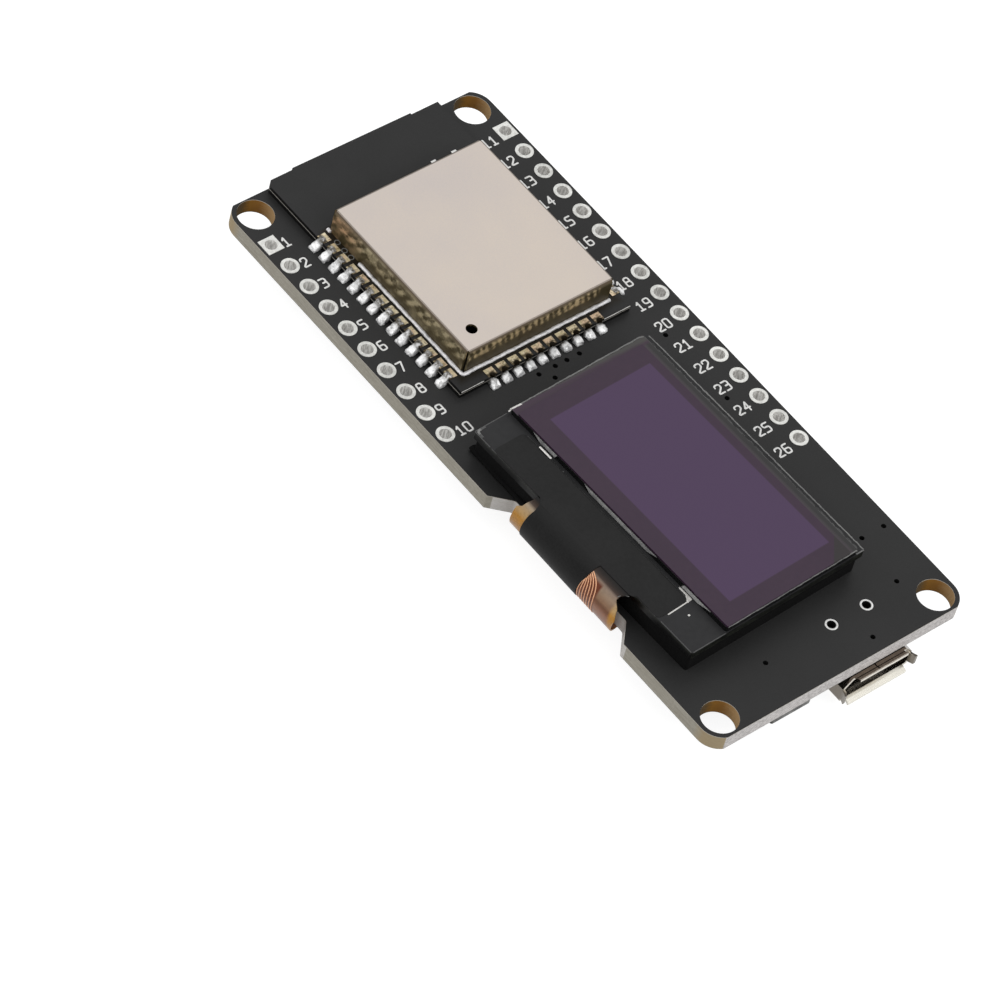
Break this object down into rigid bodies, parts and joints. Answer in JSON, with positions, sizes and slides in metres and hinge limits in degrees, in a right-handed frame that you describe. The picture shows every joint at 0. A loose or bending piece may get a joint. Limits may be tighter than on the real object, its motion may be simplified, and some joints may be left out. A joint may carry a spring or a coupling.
{
  "type": "microcontroller board with small oled display",
  "caption": "Small black microcontroller board with a flat OLED display on a folded flex cable, a shielded radio module, header holes, corner holes and a micro-USB socket.",
  "frame": {"origin": "centre of the four corner holes, on the underside of the board", "axes": "+Z out of the display side, +Y towards the antenna end, +X towards the long row of header pads"},
  "size_m": [0.0272, 0.0641, 0.0075],
  "materials": {
    "board_mask": "black satin solder mask over glass-fibre board",
    "tinned_copper": "tinned copper, satin",
    "solder": "bright solder",
    "gold_plate": "thin gold plating",
    "can_steel": "satin nickel-silver sheet",
    "socket_nickel": "nickel-plated sheet",
    "switch_steel": "stainless sheet",
    "chip_plastic": "moulded black epoxy",
    "moulded_plastic": "moulded black plastic",
    "ceramic": "tan ceramic",
    "led_resin": "pale resin",
    "black_foam": "black foam tape",
    "dark_glass": "polished glass with a dark back",
    "polariser_film": "glossy purple-brown film",
    "pixel_film": "purple-grey layer",
    "driver_silicon": "bare silicon",
    "black_film": "black adhesive film",
    "amber_film": "amber polyimide film with copper lines"
  },
  "bodies": {
    "board": {"main_board": "board_mask", "header_pads": "tinned_copper", "module_board": "board_mask", "module_pads": "gold_plate", "module_solder": "solder", "shield_can": "can_steel", "can_solder": "solder", "radio_chip": "chip_plastic", "flash_chip": "chip_plastic", "crystal": "tinned_copper", "module_passives": "ceramic", "foam_tape": "black_foam", "display_rear_glass": "dark_glass", "display_cap_glass": "dark_glass", "polariser": "polariser_film", "pixel_area": "pixel_film", "driver_chip": "driver_silicon", "driver_cover": "black_film", "flex_cable": "amber_film", "flex_tape": "black_film", "flex_solder": "solder", "usb_shell": "socket_nickel", "usb_insert": "moulded_plastic", "usb_contacts": "gold_plate", "bridge_chip": "chip_plastic", "regulator_body": "chip_plastic", "regulator_leads": "tinned_copper", "transistor_bodies": "chip_plastic", "transistor_leads": "tinned_copper", "diode_body": "chip_plastic", "diode_leads": "tinned_copper", "resistor_bodies": "chip_plastic", "capacitor_bodies": "ceramic", "chip_ends": "tinned_copper", "power_led": "led_resin", "boot_switch_base": "moulded_plastic", "boot_switch_cover": "switch_steel", "boot_dome": "switch_steel", "reset_switch_base": "moulded_plastic", "reset_switch_cover": "switch_steel", "reset_dome": "switch_steel"},
    "boot_button": {"boot_plunger": "moulded_plastic"},
    "reset_button": {"reset_plunger": "moulded_plastic"}
  },
  "joints": [
    {"name": "boot_press", "type": "slide", "parent": "board", "child": "boot_button", "axis": [0, 0, 1], "range_m": [0, 0.00025], "stiffness_N_per_m": 6400},
    {"name": "reset_press", "type": "slide", "parent": "board", "child": "reset_button", "axis": [0, 0, 1], "range_m": [0, 0.00025], "stiffness_N_per_m": 6400}
  ]
}
